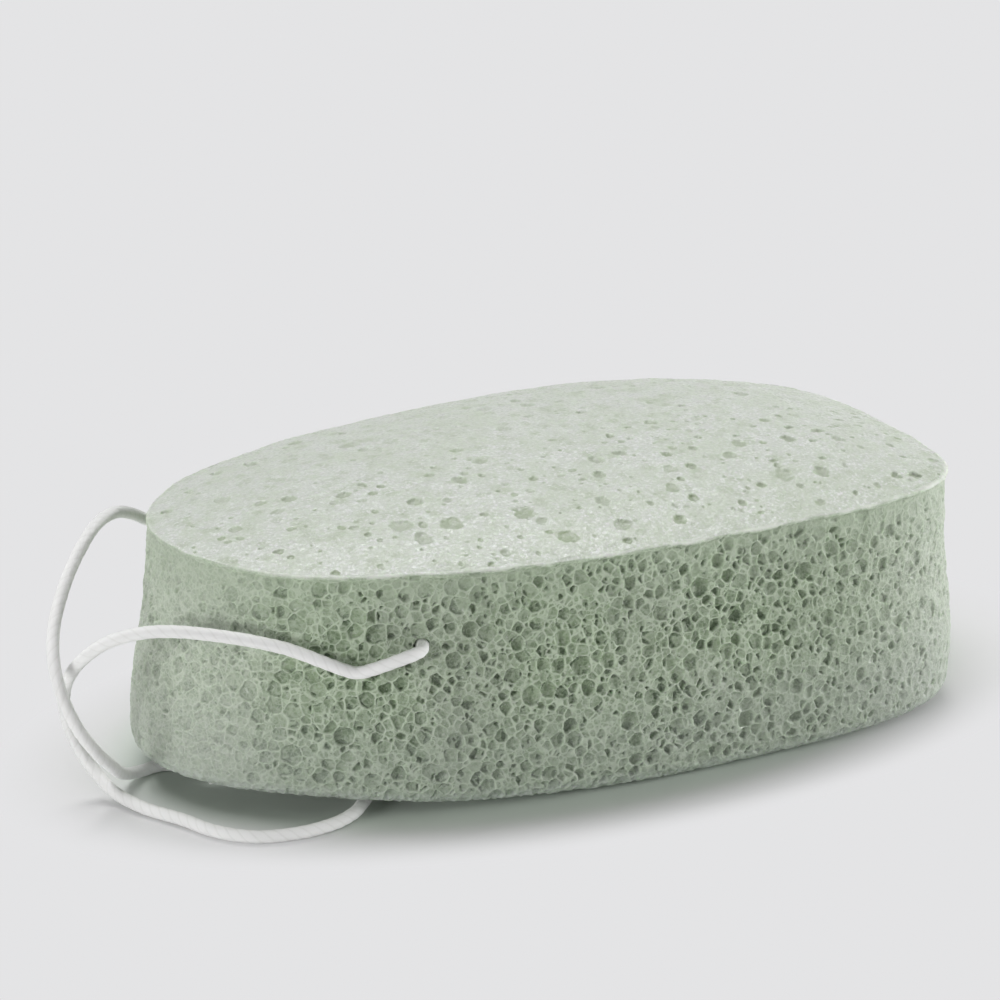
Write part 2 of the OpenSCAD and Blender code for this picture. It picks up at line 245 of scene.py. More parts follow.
def rope_skin(points, first_turn=0.0, frayed=False):
    """Rings of a cord of three twisted plies along points, as points, quads and the plies' shade."""
    count = len(points)
    _, side, up = carried_frames(points)
    gone = np.r_[0, np.cumsum(np.linalg.norm(np.diff(points, axis=0), axis=1))]
    turn = first_turn + 2 * np.pi * gone / LAY_LENGTH
    around = np.linspace(0, 2 * np.pi, CORD_SIDES, endpoint=False)
    lobe = np.abs(np.cos(PLIES / 2 * (around[None, :] - turn[:, None])))
    radius = CORD_D / 2 * (1 - PLY_RELIEF + PLY_RELIEF * lobe)
    wander = rng.normal(0, 1, (count // 5 + 3, CORD_SIDES))
    rows = np.linspace(0, len(wander) - 1.001, count)
    low = rows.astype(int)
    wander = wander[low] + (wander[low + 1] - wander[low]) * (rows - low)[:, None]
    radius = radius * (1 + WANDER * wander)
    if frayed:
        left = gone[-1] - gone
        radius = radius * (1 + FRAY * smooth(-left, -FRAY_L, 0))[:, None]
    verts = points[:, None] + radius[..., None] * (
        np.cos(around)[None, :, None] * side[:, None] + np.sin(around)[None, :, None] * up[:, None])
    # nothing goes below the surface that the cord lies on
    verts[..., 2] = np.maximum(verts[..., 2], 0)
    ring = np.arange(CORD_SIDES)
    start = (np.arange(count - 1) * CORD_SIDES)[:, None]
    quads = np.stack([start + ring, start + (ring + 1) % CORD_SIDES,
                      start + CORD_SIDES + (ring + 1) % CORD_SIDES, start + CORD_SIDES + ring], -1).reshape(-1, 4)
    ends = np.vstack([points[0], points[-1]])
    caps_a = np.stack([np.full(CORD_SIDES, count * CORD_SIDES), (ring + 1) % CORD_SIDES, ring], 1)
    last = (count - 1) * CORD_SIDES
    caps_b = np.stack([np.full(CORD_SIDES, count * CORD_SIDES + 1), last + ring, last + (ring + 1) % CORD_SIDES], 1)
    return np.vstack([verts.reshape(-1, 3), ends]), [*quads, *caps_a, *caps_b], np.r_[lobe.ravel(), 0.5, 0.5]


def cotton_material():
    material, tree, shader = new_material("white_cotton")
    place = add_node(tree, "ShaderNodeTexCoord").outputs["Object"]
    fibres = noise(tree, place, 5200, 3, 0.6)
    # painted shade: the grooves between the plies are painted darker than their crowns
    painted_groove_shade = ramp(tree, attribute(tree, "ply"), 0.0, 0.5)
    colour = mixed(tree, painted_groove_shade, (0.87, 0.87, 0.855, 1), (0.94, 0.94, 0.93, 1))
    soiled = mixed(tree, ramp(tree, noise(tree, place, 300), 0.5, 0.75, 0, 0.2), colour, (0.82, 0.83, 0.8, 1))
    tree.links.new(soiled, shader.inputs["Base Color"])
    bump = add_node(tree, "ShaderNodeBump", {"Strength": 0.5, "Distance": 0.00012, "Height": fibres})
    tree.links.new(bump.outputs["Normal"], shader.inputs["Normal"])
    shader.inputs["Roughness"].default_value = 0.85
    shader.inputs["Sheen Weight"].default_value = 0.35
    shader.inputs["Sheen Roughness"].default_value = 0.5
    shader.inputs["Subsurface Weight"].default_value = 0.25
    shader.inputs["Subsurface Radius"].default_value = (1, 1, 1)
    shader.inputs["Subsurface Scale"].default_value = 0.0004
    shader.inputs["Specular IOR Level"].default_value = 0.25
    return material


COTTON = cotton_material()


def rope_piece(name, runs, node):
    """One piece of twisted cord along one or more runs, standing for a CAD node."""
    verts, faces, ply, base = [], [], [], 0
    for points, turn, frayed in runs:
        v, f, p = rope_skin(points, turn, frayed)
        verts.append(v)
        faces += [np.asarray(q) + base for q in f]
        ply.append(p)
        base += len(v)
    mesh = new_mesh(name, np.vstack(verts), np.concatenate(faces), np.array([len(f) for f in faces]))
    mesh.validate()
    piece = riding(name, mesh)
    set_values(mesh, "ply", np.concatenate(ply))
    piece.data.materials.append(COTTON)
    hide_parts(node)
    return piece


strands = {1: strand(1), -1: strand(-1)}
front_run = smooth_run([*FRONT_ROUTE, strands[1][0]], RING_STEP)
rear_run = smooth_run([*REAR_ROUTE, strands[-1][0]], RING_STEP)
knot = rope_piece("reef_knot", [(smooth_run(strands[s], RING_STEP), 0.7 * s, True) for s in (1, -1)], "knot")
front_cord = rope_piece("cord_front_lay", [(front_run, 0.0, False)], "cord_front")
rear_cord = rope_piece("cord_rear_lay", [(rear_run, 1.0, False)], "cord_rear")
held = np.linspace((HOLE_X, BEND_Y, HOLE_Z), (HOLE_X, -BEND_Y, HOLE_Z), int(2 * BEND_Y / RING_STEP))
rope_piece("cord_held_lay", [(held, 0.4, False)], "cord_inside")


# ---------------------------------------------------------------- form of the sponge, as in part.scad

SPONGE_L, SPONGE_W, RIM_H, CROWN_H, WIDE_X = 119.4, 71.0, 35.7, 5.4, 11.4
BASE_ROUND, LIP_H, LIP_OUT, WALL_BULGE = 2.4, 0.8, 0.35, 1.15
FOOT_L, FOOT_W, FOOT_X, BELLY_H = 66.0, 50.0, 14.0, 2.2
HOLLOW_H, HOLLOW_R, HOLLOW_AT, HOLLOW_EDGE = 5.0, 25.0, (-37.0, -8.0), 0.65
NOSE_L, NOSE_RISE = 17.5, 0.9
CORNERS = (2.0, 4.6, 2.2, 2.0)
DOME_POWER = 2.8
MID_X = 0.306
DIMPLE_R = 2.6


def power_at(x, y):
    """The outline's superellipse power in the quarter of x, y, with x from the widest place."""
    return np.where(y < 0, np.where(x < 0, CORNERS[0], CORNERS[1]), np.where(x < 0, CORNERS[3], CORNERS[2]))


def outline(t, inset):
    c, s = np.cos(t), np.sin(t)
    p = 2 / power_at(c, s)
    reach = np.where(c < 0, SPONGE_L / 2 + WIDE_X, SPONGE_L / 2 - WIDE_X)
    return np.stack([WIDE_X + (reach - inset) * np.sign(c) * np.abs(c) ** p,
                     (SPONGE_W / 2 - inset) * np.sign(s) * np.abs(s) ** p], -1)


def wall_inset(z):
    """How far the cut side lies inside the top rim at height z: it bulges out low down."""
    return LIP_OUT - WALL_BULGE * np.cos(np.pi * np.minimum(0.5, np.abs(z / RIM_H - 0.26))) ** 2


def share_out(p):
    """0 at the widest place's middle, 1 on the outline."""
    x, y = p[..., 0] - WIDE_X, p[..., 1]
    reach = np.where(x < 0, SPONGE_L / 2 + WIDE_X, SPONGE_L / 2 - WIDE_X)
    n = power_at(x, y)
    return ((np.abs(x) / reach) ** n + (np.abs(y) * 2 / SPONGE_W) ** n) ** (1 / n)


def lift(p):
    reach = np.hypot((p[..., 0] - FOOT_X) * 2 / FOOT_L, p[..., 1] * 2 / FOOT_W)
    return BELLY_H * np.maximum(0, reach - 1) ** 2


def hollow(p):
    away = np.hypot(p[..., 0] - HOLLOW_AT[0], p[..., 1] - HOLLOW_AT[1]) / HOLLOW_R
    return HOLLOW_H * (1 - np.minimum(1, away * away)) ** 2


def placed(p, z, low, extra=0.0):
    """Curls the narrow end up and lifts the underside, and centres the sponge's box."""
    k = np.maximum(0, NOSE_L - SPONGE_L / 2 - p[..., 0]) / NOSE_L
    turn = k * 2 * NOSE_RISE / NOSE_L
    return np.stack([p[..., 0] + np.sin(turn) * z - MID_X, p[..., 1] + 0 * z,
                     np.cos(turn) * z + (1 - low) * NOSE_RISE * k * k + low * lift(p) + extra], -1)


# ---------------------------------------------------------------- the sponge's grid

ALONG, ACROSS = ((600, 400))
WALL_STEP = 0.16
COLUMNS = 2 * (ALONG + ACROSS)


def even_turns():
    """Angles of the columns, evenly spaced along each side between the grid's four corners."""
    fine = np.radians(np.linspace(-135, 225, 14401))
    pts = outline(fine, 0)
    gone = np.r_[0, np.cumsum(np.linalg.norm(np.diff(pts, axis=0), axis=1))]
    marks = [np.interp(math.radians(a), fine, gone) for a in (-135, -45, 45, 135, 225)]
    ways = np.concatenate([np.linspace(a, b, n, endpoint=False)
                           for a, b, n in zip(marks, marks[1:], (ALONG, ACROSS, ALONG, ACROSS))])
    return np.interp(ways, gone, fine)


TURNS = even_turns()


def side_ids(along, across):
    """Ring places of the grid's border: front, right, rear and left, each in the ring's order."""
    n = 2 * (along + across)
    ids = np.arange(n + 1) % n
    a, b, c = along, along + across, 2 * along + across
    return ids[:a + 1], ids[a:b + 1], ids[b:c + 1], ids[c:]


def filled(ring, along, across):
    """Points of a grid inside a ring of points, blended from its four sides."""
    front, right, rear, left = (ring[i] for i in side_ids(along, across))
    rear, left = rear[::-1], left[::-1]
    u = np.linspace(0, 1, along + 1)[None, :, None]
    v = np.linspace(0, 1, across + 1)[:, None, None]
    flat = (1 - v) * front[None] + v * rear[None] + (1 - u) * left[:, None] + u * right[:, None]
    return flat - ((1 - u) * (1 - v) * front[0] + u * (1 - v) * front[-1] + (1 - u) * v * rear[0] + u * v * rear[-1])


def grid_ids(ring_start, inner_start, along, across):
    """Vertex numbers of such a grid: its border is the ring, its inside starts at inner_start."""
    ids = np.zeros((across + 1, along + 1), np.int64)
    front, right, rear, left = side_ids(along, across)
    ids[0, :], ids[:, -1], ids[-1, ::-1], ids[::-1, 0] = (ring_start + s for s in (front, right, rear, left))
    ids[1:-1, 1:-1] = inner_start + np.arange((across - 1) * (along - 1)).reshape(across - 1, along - 1)
    return ids


def grid_quads(ids):
    return np.stack([ids[:-1, :-1], ids[:-1, 1:], ids[1:, 1:], ids[1:, :-1]], -1).reshape(-1, 4)


LIP_ROWS = ((-0.05, 0.33), (0.08, 0.2), (0.22, 0.07), (0.4, 0.0), (0.6, 0.02), (0.76, 0.12), (0.86, 0.3))
EDGE_INSET = 0.55


def wall_rows():
    """The side's rows from the bottom edge to the lip, as points of COLUMNS each."""
    rows = []
    for a in np.linspace(0, math.pi / 2, max(6, int(BASE_ROUND * math.pi / 2 / WALL_STEP))):
        z = BASE_ROUND * (1 - math.cos(a))
        edge = outline(TURNS, wall_inset(z) + BASE_ROUND * (1 - math.sin(a)))
        up = hollow(outline(TURNS, 0)) * (1 - HOLLOW_EDGE) * math.cos(a)
        rows.append(placed(edge, z, 1.0, up))
    top = RIM_H - LIP_H
    for f in np.linspace(0, 1, int((top - BASE_ROUND) / WALL_STEP))[1:-1]:
        z = BASE_ROUND + (top - BASE_ROUND) * f
        rows.append(placed(outline(TURNS, wall_inset(z)), z, 1 - f))
    for z, inset in LIP_ROWS:
        rows.append(placed(outline(TURNS, inset), top + z, 0.0))
    rows.append(dome(outline(TURNS, EDGE_INSET)))
    return np.array(rows)


def dome(p):
    return placed(p, RIM_H + CROWN_H * (1 - share_out(p) ** DOME_POWER), 0.0)


def belly(p):
    """The underside, hollowed over the knot and less so towards its edge."""
    fade = np.clip((share_out(p) - 0.78) / 0.2, 0, 1) ** 3
    return placed(p, 0 * p[..., 0], 1.0, hollow(p) * (1 - HOLLOW_EDGE * fade))


wall = wall_rows()
top_flat = filled(outline(TURNS, EDGE_INSET), ALONG, ACROSS)
belly_flat = filled(outline(TURNS[::2], BASE_ROUND + 0.5), ALONG // 2, ACROSS // 2)
top_grid, belly_grid = dome(top_flat), belly(belly_flat)

wall_n = wall.shape[0] * COLUMNS
top_start = wall_n
ring_start = top_start + (ALONG - 1) * (ACROSS - 1)
belly_start = ring_start + COLUMNS // 2
belly_ring = belly(outline(TURNS[::2], BASE_ROUND + 0.5))
points = np.vstack([wall.reshape(-1, 3), top_grid[1:-1, 1:-1].reshape(-1, 3), belly_ring,
                    belly_grid[1:-1, 1:-1].reshape(-1, 3)])

wall_ids = np.arange(wall_n).reshape(wall.shape[0], COLUMNS)
wall_wrap = np.hstack([wall_ids, wall_ids[:, :1]])
top_ids = grid_ids(wall_n - COLUMNS, top_start, ALONG, ACROSS)
belly_ids = grid_ids(ring_start, belly_start, ALONG // 2, ACROSS // 2)
fine = np.arange(COLUMNS + 1) % COLUMNS
half = ring_start + np.arange(COLUMNS // 2 + 1) % (COLUMNS // 2)
stitch = np.concatenate([
    np.stack([half[:-1], fine[1:-1:2], fine[:-2:2]], 1),
    np.stack([half[:-1], half[1:], fine[1:-1:2]], 1),
    np.stack([half[1:], fine[2::2], fine[1:-1:2]], 1)])
quads = np.vstack([grid_quads(wall_wrap), grid_quads(top_ids), grid_quads(belly_ids)[:, ::-1]])


def outward(points, quads, triangles):
    """Unit normals of the smooth form at its points."""
    total = np.zeros_like(points)
    a, b, c, d = (points[quads[:, k]] for k in range(4))
    face = np.cross(c - a, d - b)
    for k in range(4):
        for axis in range(3):
            total[:, axis] += np.bincount(quads[:, k], face[:, axis], len(points))
    a, b, c = (points[triangles[:, k]] for k in range(3))
    face = np.cross(b - a, c - a)
    for k in range(3):
        for axis in range(3):
            total[:, axis] += np.bincount(triangles[:, k], face[:, axis], len(points))
    return total / np.linalg.norm(total, axis=1)[:, None]


normals = outward(points, quads, stitch)

# ---------------------------------------------------------------- bubbles of the foam


def near_pairs(a, b, reach):
    """Index pairs of points of a and b that lie within reach of each other."""
    low = np.minimum(a.min(0), b.min(0)) - reach
    size = ((np.maximum(a.max(0), b.max(0)) - low) / reach).astype(int) + 3
    key_b = ((b - low) / reach).astype(int)
    code_b = (key_b[:, 0] * size[1] + key_b[:, 1]) * size[2] + key_b[:, 2]
    order = np.argsort(code_b, kind="stable")
    code_b = code_b[order]
    key_a = ((a - low) / reach).astype(int)
    found_a, found_b = [], []
    for shift in np.ndindex(3, 3, 3):
        key = key_a + np.array(shift) - 1
        code = (key[:, 0] * size[1] + key[:, 1]) * size[2] + key[:, 2]
        first = np.searchsorted(code_b, code, "left")
        count = np.searchsorted(code_b, code, "right") - first
        who = np.repeat(np.arange(len(a)), count)
        step = np.arange(count.sum()) - np.repeat(np.cumsum(count) - count, count)
        other = order[np.repeat(first, count) + step]
        close = ((a[who] - b[other]) ** 2).sum(1) < reach * reach
        found_a.append(who[close])
        found_b.append(other[close])
    return np.concatenate(found_a), np.concatenate(found_b)


def depth_in(p):
    """Rough depth of points under the cut side, negative outside it."""
    bulge = LIP_OUT - wall_inset(p[:, 2])
    q = p[:, :2] + (MID_X, 0)
    r = share_out(q)
    step = 0.5
    slope = np.hypot(share_out(q + (step, 0)) - share_out(q - (step, 0)),
                     share_out(q + (0, step)) - share_out(q - (0, step))) / (2 * step)
    return (1 - r) / np.maximum(slope, 1e-3) + bulge


# Large open bubbles of the cut wall and large pores of the top skin, as in part.scad
BUBBLES_AROUND, BUBBLE_ROWS, BUBBLE_R = 24, (0.21, 0.48, 0.77), 1.7
TOP_PORES = ((-10.5, -22, 1.75), (-21, -20.5, 1.7), (-26, -22, 1.3), (-27.5, -17.5, 1.5), (-30, -5, 1.2),
             (-14, -9.5, 1.2), (1, -29.5, 1.3), (-7.5, -29.5, 1.5), (1, -23.5, 1.2), (29.5, -25.5, 1.5),
             (35.5, -26, 1.4), (6.5, -11.5, 1.2), (28.5, -14.5, 1.2), (36.5, -15, 1.2), (-44, 5.5, 1.2),
             (-20, 14, 1.4), (4, 18, 1.3), (24, 20, 1.5), (42, 8, 1.3), (-34, 18, 1.2))
# Further bubbles: smallest and largest radius, tries a round, rounds
BUBBLES = ((0.95, 1.35, 5000, 5), (0.68, 0.95, 14000, 6), (0.48, 0.68, 30000, 5), (0.32, 0.48, 50000, 4))
SQUEEZE = 0.8


def jitter(i, a):
    return math.sin(math.radians(a * (i + 1)))


def large_bubbles():
    """Centres and radii of the large bubbles that the wall opens, at the places of the solid's bowls."""
    steps = np.radians(np.arange(0, 361, 4))
    runs = np.r_[0, np.cumsum(np.linalg.norm(np.diff(outline(steps, LIP_OUT), axis=0), axis=1))]
    centres, radii = [], []
    for i in range(BUBBLES_AROUND * len(BUBBLE_ROWS)):
        row, k = divmod(i, BUBBLES_AROUND)
        share = (k + 0.5 + row % 2 / 2 + 0.24 * jitter(i, 137.5)) / BUBBLES_AROUND
        t = np.interp(runs[-1] * (share % 1), runs, steps)
        way = outline(t + 0.02, LIP_OUT) - outline(t - 0.02, LIP_OUT)
        out = np.array([way[1], -way[0], 0]) / np.linalg.norm(way)
        f = BUBBLE_ROWS[row] + 0.06 * jitter(i, 222.5)
        z = BASE_ROUND + (RIM_H - LIP_H - BASE_ROUND) * f
        p = placed(outline(t, wall_inset(z)), z, 1 - f)
        r = BUBBLE_R * (1 + 0.22 * jitter(i, 81.7))
        if math.hypot(p[0] - HOLE_X, p[2] - HOLE_Z) > DIMPLE_R + 1.5 * BUBBLE_R:
            centres.append(p - out * 0.25 * r)
            radii.append(0.78 * r)
    return np.array(centres), np.array(radii)


def bubble_pack():
    """Centres and radii of bubbles of mixed sizes, largest first, near the cut side and underside."""
    low, high = np.array([-62.0, -38.0, -2.2]), np.array([62.0, 38.0, 37.5])
    centres, radii = large_bubbles()
    for small, large, tries, rounds in BUBBLES:
        for _ in range(rounds):
            p = low + (high - low) * rng.random((tries * 4, 3))
            d = depth_in(p)
            p = p[((d > -2.2) & (d < 4.6)) | ((d > 0) & (p[:, 2] < 5.5))][:tries]
            r = small + (large - small) * rng.random(len(p)) ** 1.3
            if len(radii):
                i, j = near_pairs(p, centres, (large + radii.max()) * SQUEEZE)
                bad = ((p[i] - centres[j]) ** 2).sum(1) < ((r[i] + radii[j]) * SQUEEZE) ** 2
                keep = np.ones(len(p), bool)
                keep[i[bad]] = False
                p, r = p[keep], r[keep]
            i, j = near_pairs(p, p, 2 * large * SQUEEZE)
            bad = (i > j) & (((p[i] - p[j]) ** 2).sum(1) < ((r[i] + r[j]) * SQUEEZE) ** 2)
            keep = np.ones(len(p), bool)
            keep[i[bad]] = False
            centres, radii = np.vstack([centres, p[keep]]), np.r_[radii, r[keep]]
    return centres, radii


# Half the wall left between bubbles, width of a mouth's soft edge, and how far a bubble grows past its size
WALL_THIN, SOFTEN, SWELL = 0.04, 0.13, 1.52
# How many bubbles each point looks at, the size of the blocks it works in and the reach beyond them
NEAR, BLOCK, REACH = 18, 5.0, 2.6
# How deep the cells are carved, and how deep the smallest are against the largest
SHALLOW, SMALL_DEEP = 0.45, 0.3
SMALL_R, GROWN_R = 0.38, 0.85
# Least share that a wall faces the view, a distance beyond all cells, and the share of walls with a window
LEAST_FACING, FAR, WINDOW_SHARE = 0.03, 99.0, 0.3


def cut_cells(p, inward, centres, radii):
    """What a cut through the foam shows at each point: how deep it sees in, how far the point is inside a
    bubble's mouth, if it sees through a window into the next bubble, a tone of the bubble's own that is
    darker in larger bubbles as painted shade of their deeper hollows, and if it sees a strut."""
    weight = (centres ** 2).sum(1) - radii ** 2
    lot = rng.random(len(radii))
    deep, mouth = np.zeros(len(p)), np.full(len(p), -0.5)
    window, tone, strut = np.zeros(len(p)), np.zeros(len(p)), np.zeros(len(p))
    block = np.floor(p / BLOCK).astype(int)
    code = (block[:, 0] * 512 + block[:, 1]) * 512 + block[:, 2]
    order = np.argsort(code, kind="stable")
    for who in np.split(order, np.flatnonzero(np.diff(code[order])) + 1):
        q, way = p[who], inward[who]
        near = np.flatnonzero(((centres > q.min(0) - REACH) & (centres < q.max(0) + REACH)).all(1))
        if len(near) < NEAR + 1:
            continue
        power = weight[near][None] - 2 * q @ centres[near].T
        best = np.argpartition(power, NEAR, axis=1)[:, :NEAR]
        value = np.take_along_axis(power, best, 1)
        rank = np.argsort(value, axis=1)
        best, value = np.take_along_axis(best, rank, 1), np.take_along_axis(value, rank, 1)
        c, r, luck = centres[near][best], radii[near][best], lot[near][best]
        gap = c[:, 1:] - c[:, :1]
        long = np.linalg.norm(gap, axis=2)
        border = (value[:, 1:] - value[:, :1]) / (2 * long)
        facing = np.einsum("nkx,nx->nk", gap, way) / long
        leave = np.where(facing > LEAST_FACING, border / np.maximum(facing, LEAST_FACING), FAR)
        face = leave.argmin(1)
        row = np.arange(len(q))
        t_face = leave[row, face]
        rest = border - facing * t_face[:, None]
        rest[row, face] = FAR
        to_strut = np.abs(rest).min(1)
        edge = border.min(1)
        hub = c[:, 0] - q
        ahead = (hub * way).sum(1)
        off = (hub ** 2).sum(1) - ahead ** 2
        ball = r[:, 0] * SWELL
        t_ball = ahead + np.sqrt(np.maximum(ball ** 2 - off, 0))
        inside = ball - np.linalg.norm(hub, axis=1)
        opened = smooth(edge, WALL_THIN, WALL_THIN + SOFTEN) * smooth(inside, 0.0, SOFTEN)
        mouth[who] = np.clip(np.minimum(edge - WALL_THIN, inside), -0.5, 0.5)
        t = np.maximum(np.minimum(t_face, t_ball), 0)
        # the window to the next bubble, round the line between the two centres
        nxt = face + 1
        span = long[row, face]
        split = (span ** 2 + r[:, 0] ** 2 - r[row, nxt] ** 2) / (2 * span)
        centre = c[:, 0] + gap[row, face] * (split / span)[:, None]
        hit = q + way * t_face[:, None]
        reach = np.sqrt(np.maximum(ball ** 2 - split ** 2, 0))
        chance = (luck[:, 0] + luck[row, nxt]) % 1.0
        wide = np.where(chance < WINDOW_SHARE, reach * (0.3 + 0.35 * luck[row, nxt]), 0)
        to_window = np.linalg.norm(hit - centre, axis=1)
        through = (t_face < t_ball) & (to_window < wide)
        # how far it sees into that bubble
        value2 = value - 2 * t_face[:, None] * np.einsum("nkx,nx->nk", c, way)
        gap2 = c - c[row, nxt][:, None]
        long2 = np.maximum(np.linalg.norm(gap2, axis=2), 1e-6)
        border2 = (value2 - value2[row, nxt][:, None]) / (2 * long2)
        facing2 = np.einsum("nkx,nx->nk", gap2, way) / long2
        leave2 = np.where(facing2 > LEAST_FACING, border2 / np.maximum(facing2, LEAST_FACING), FAR)
        leave2[row, nxt] = FAR
        hub2 = c[row, nxt] - hit
        ahead2 = (hub2 * way).sum(1)
        off2 = (hub2 ** 2).sum(1) - ahead2 ** 2
        t2 = np.minimum(leave2.min(1), ahead2 + np.sqrt(np.maximum((r[row, nxt] * SWELL) ** 2 - off2, 0)))
        t = t + np.where(through, np.maximum(t2, 0), 0)
        line = (1 - smooth(to_strut, 0.06, 0.24)) * (t_face < t_ball) * ~through
        line = np.maximum(line, (wide > 0) * ~through * (1 - smooth(to_window - wide, 0.04, 0.16)))
        grown = smooth(r[:, 0], SMALL_R, GROWN_R)
        deep[who] = np.maximum(t - 0.15 * line, 0) * opened * (SMALL_DEEP + (1 - SMALL_DEEP) * grown)
        # a random tone for each bubble, with painted shade: larger bubbles get darker tones for their deeper hollows
        tone[who] = luck[:, 0] * (0.35 + 0.65 * grown)
        window[who], strut[who] = through * opened, line * opened
    return deep, mouth, window, tone, strut


def lumps(p, scale, seed):
    """Smooth noise from -1 to 1 on points, one lump a scale."""
    grid = np.random.default_rng(seed).uniform(-1, 1, (32, 32, 32))
    q = p / scale
    i = np.floor(q).astype(int)
    f = q - i
    f = f * f * (3 - 2 * f)
    total = 0
    for dx, dy, dz in np.ndindex(2, 2, 2):
        w = (np.where(dx, f[:, 0], 1 - f[:, 0]) * np.where(dy, f[:, 1], 1 - f[:, 1])
             * np.where(dz, f[:, 2], 1 - f[:, 2]))
        total = total + w * grid[(i[:, 0] + dx) % 32, (i[:, 1] + dy) % 32, (i[:, 2] + dz) % 32]
    return total


MOST_DEEP = 1.9
LIP_RINGS = 4
deep, mouth = np.zeros(len(points)), np.full(len(points), -0.5)
window, tone, strut = np.zeros(len(points)), np.zeros(len(points)), np.zeros(len(points))
cut = np.ones(len(points), bool)
cut[top_start:ring_start] = False
cut[wall_n - LIP_RINGS * COLUMNS:wall_n] = False
centres, radii = bubble_pack()
bent = points + 0.2 * np.stack([lumps(points, 1.2, s) for s in (1, 2, 3)], 1)
bent += 0.06 * np.stack([lumps(points, 0.4, s) for s in (4, 5, 6)], 1)
deep[cut], mouth[cut], window[cut], tone[cut], strut[cut] = cut_cells(bent[cut], -normals[cut], centres, radii)
deep = MOST_DEEP * (1 - np.exp(-SHALLOW * deep / MOST_DEEP))
# the cells are cut less deep at the lip, at both ends, and at the bottom edge and all of the underside
lip_fade = smooth(points[:, 2], RIM_H - LIP_H - 2.2, RIM_H - 0.6)
from_middle = points + (MID_X, 0, 0)
foot_fade = smooth(points[:, 2] - lift(from_middle) - hollow(from_middle) * (1 - HOLLOW_EDGE), 0.2, 3.0)
end_fade = 1 - 0.5 * smooth(-points[:, 0], 36, 56) - 0.6 * smooth(points[:, 0], 15, 56)
deep *= np.where(cut, (1 - 0.75 * lip_fade) * (0.2 + 0.8 * foot_fade) * end_fade, 0)
# the cut side is a little ragged, and its bottom edge crumbly
ragged = (0.17 * lumps(points, 2.4, 51) + 0.09 * lumps(points, 0.8, 52)) * foot_fade * (1 - lip_fade)
crumbs = (0.34 * np.abs(lumps(points, 0.9, 53)) + 0.2 * np.abs(lumps(points, 0.4, 54))) * (1 - foot_fade)
deep += np.where(cut, ragged + crumbs, 0)

# ---------------------------------------------------------------- pores of the top skin

PORES = ((0.75, 1.15, 40), (0.4, 0.75, 120), (0.22, 0.4, 180))


def pore_list():
    """Places and sizes of the round pores in the top skin."""
    spots = np.array(TOP_PORES) - (MID_X, 0, 0)
    for small, large, count in PORES:
        made = 0
        while made < count:
            p = rng.uniform((-57, -33), (57, 33))
            r = rng.uniform(small, large)
            share = float(share_out(p + (MID_X, 0)))
            if share > (0.985 if p[1] < 0 else 0.93) or (p[1] > 0 and rng.random() < 0.7):
                continue
            if len(spots) and (np.hypot(*(spots[:, :2] - p).T) < (spots[:, 2] + r) * rng.uniform(0.9, 1.6)).any():
                continue
            spots = np.vstack([spots, (*p, r)])
            made += 1
    return spots


top_part = slice(top_start, ring_start)
q = points[top_part]
pore, pore_deep = np.zeros(len(q)), np.zeros(len(q))
wobble = lumps(q, 0.8, 11) * 0.24 + lumps(q, 2.0, 12) * 0.14 + lumps(q, 0.35, 13) * 0.14
for x, y, r in pore_list():
    close = np.flatnonzero((np.abs(q[:, 0] - x) < 1.6 * r) & (np.abs(q[:, 1] - y) < 1.6 * r))
    long = rng.uniform(0.85, 1.15)
    away = np.hypot((q[close, 0] - x) * long, (q[close, 1] - y) / long) / r + wobble[close]
    bowl = np.sqrt(np.maximum(0, 1 - away ** 2))
    pore_deep[close] = np.maximum(pore_deep[close], bowl * min(1.0, r) * rng.uniform(0.25, 0.5))
    seen = rng.uniform(0.45, 1.0) * (1 - 0.5 * float(smooth(y, -5, 15)))
    pore[close] = np.maximum(pore[close], smooth(-away, -1.1, -0.85) * seen)
undulate = 0.10 * lumps(q, 3.1, 21) + 0.08 * lumps(q, 1.2, 22) + 0.05 * lumps(q, 0.5, 23)
deep[top_part] = pore_deep + 0.1 + undulate * (1 - pore)
window[top_part] = pore
lip = np.zeros(len(points))
for row, share in ((5, 0.5), (4, 1.0), (3, 1.0), (2, 0.7)):
    lip[wall_n - row * COLUMNS:wall_n - (row - 1) * COLUMNS] = share
lip_part = slice(wall_n - LIP_RINGS * COLUMNS, wall_n)
deep[lip_part] = 0.06 + 0.05 * lumps(points[lip_part], 1.7, 31) + 0.05 * lumps(points[lip_part], 0.6, 32)

# at both mouths the foam is drawn in a little and closes on the cord
SNUG_R, DRAWN_R, DRAWN_DEEP = 0.97, 2.3, 0.45


def give_way(p, way, run):
    """How deep the foam at points p gives way, along way, to the cord's run."""
    most = np.zeros(len(p))
    for centre in run:
        hub = centre - p
        ahead = (hub * way).sum(1)
        off = (hub ** 2).sum(1) - ahead ** 2
        most = np.maximum(most, np.where(off < SNUG_R ** 2, ahead + np.sqrt(np.maximum(SNUG_R ** 2 - off, 0)), 0))
    return most


around_hole = np.hypot(points[:, 0] - HOLE_X, points[:, 2] - HOLE_Z)
for side, run in ((-1, front_run), (1, rear_run)):
    near = np.flatnonzero((side * points[:, 1] > MOUTH_Y - 4) & (around_hole < 6) & cut)
    away = around_hole[near]
    drawn = DRAWN_DEEP * smooth(-away, -DRAWN_R, -SNUG_R) + deep[near] * smooth(away, SNUG_R, DRAWN_R)
    through = np.vstack([held[held[:, 1] * side > BEND_Y - 0.5], run[np.linalg.norm(run - run[0], axis=1) < 12]])
    deep[near] = np.maximum(drawn, give_way(points[near], -normals[near], through))
    mouth[near] = -0.5 + (mouth[near] + 0.5) * smooth(away, SNUG_R, DRAWN_R)

skin = np.zeros(len(points))
skin[wall_n - 3 * COLUMNS:ring_start] = 1
carved = points - normals * deep[:, None]
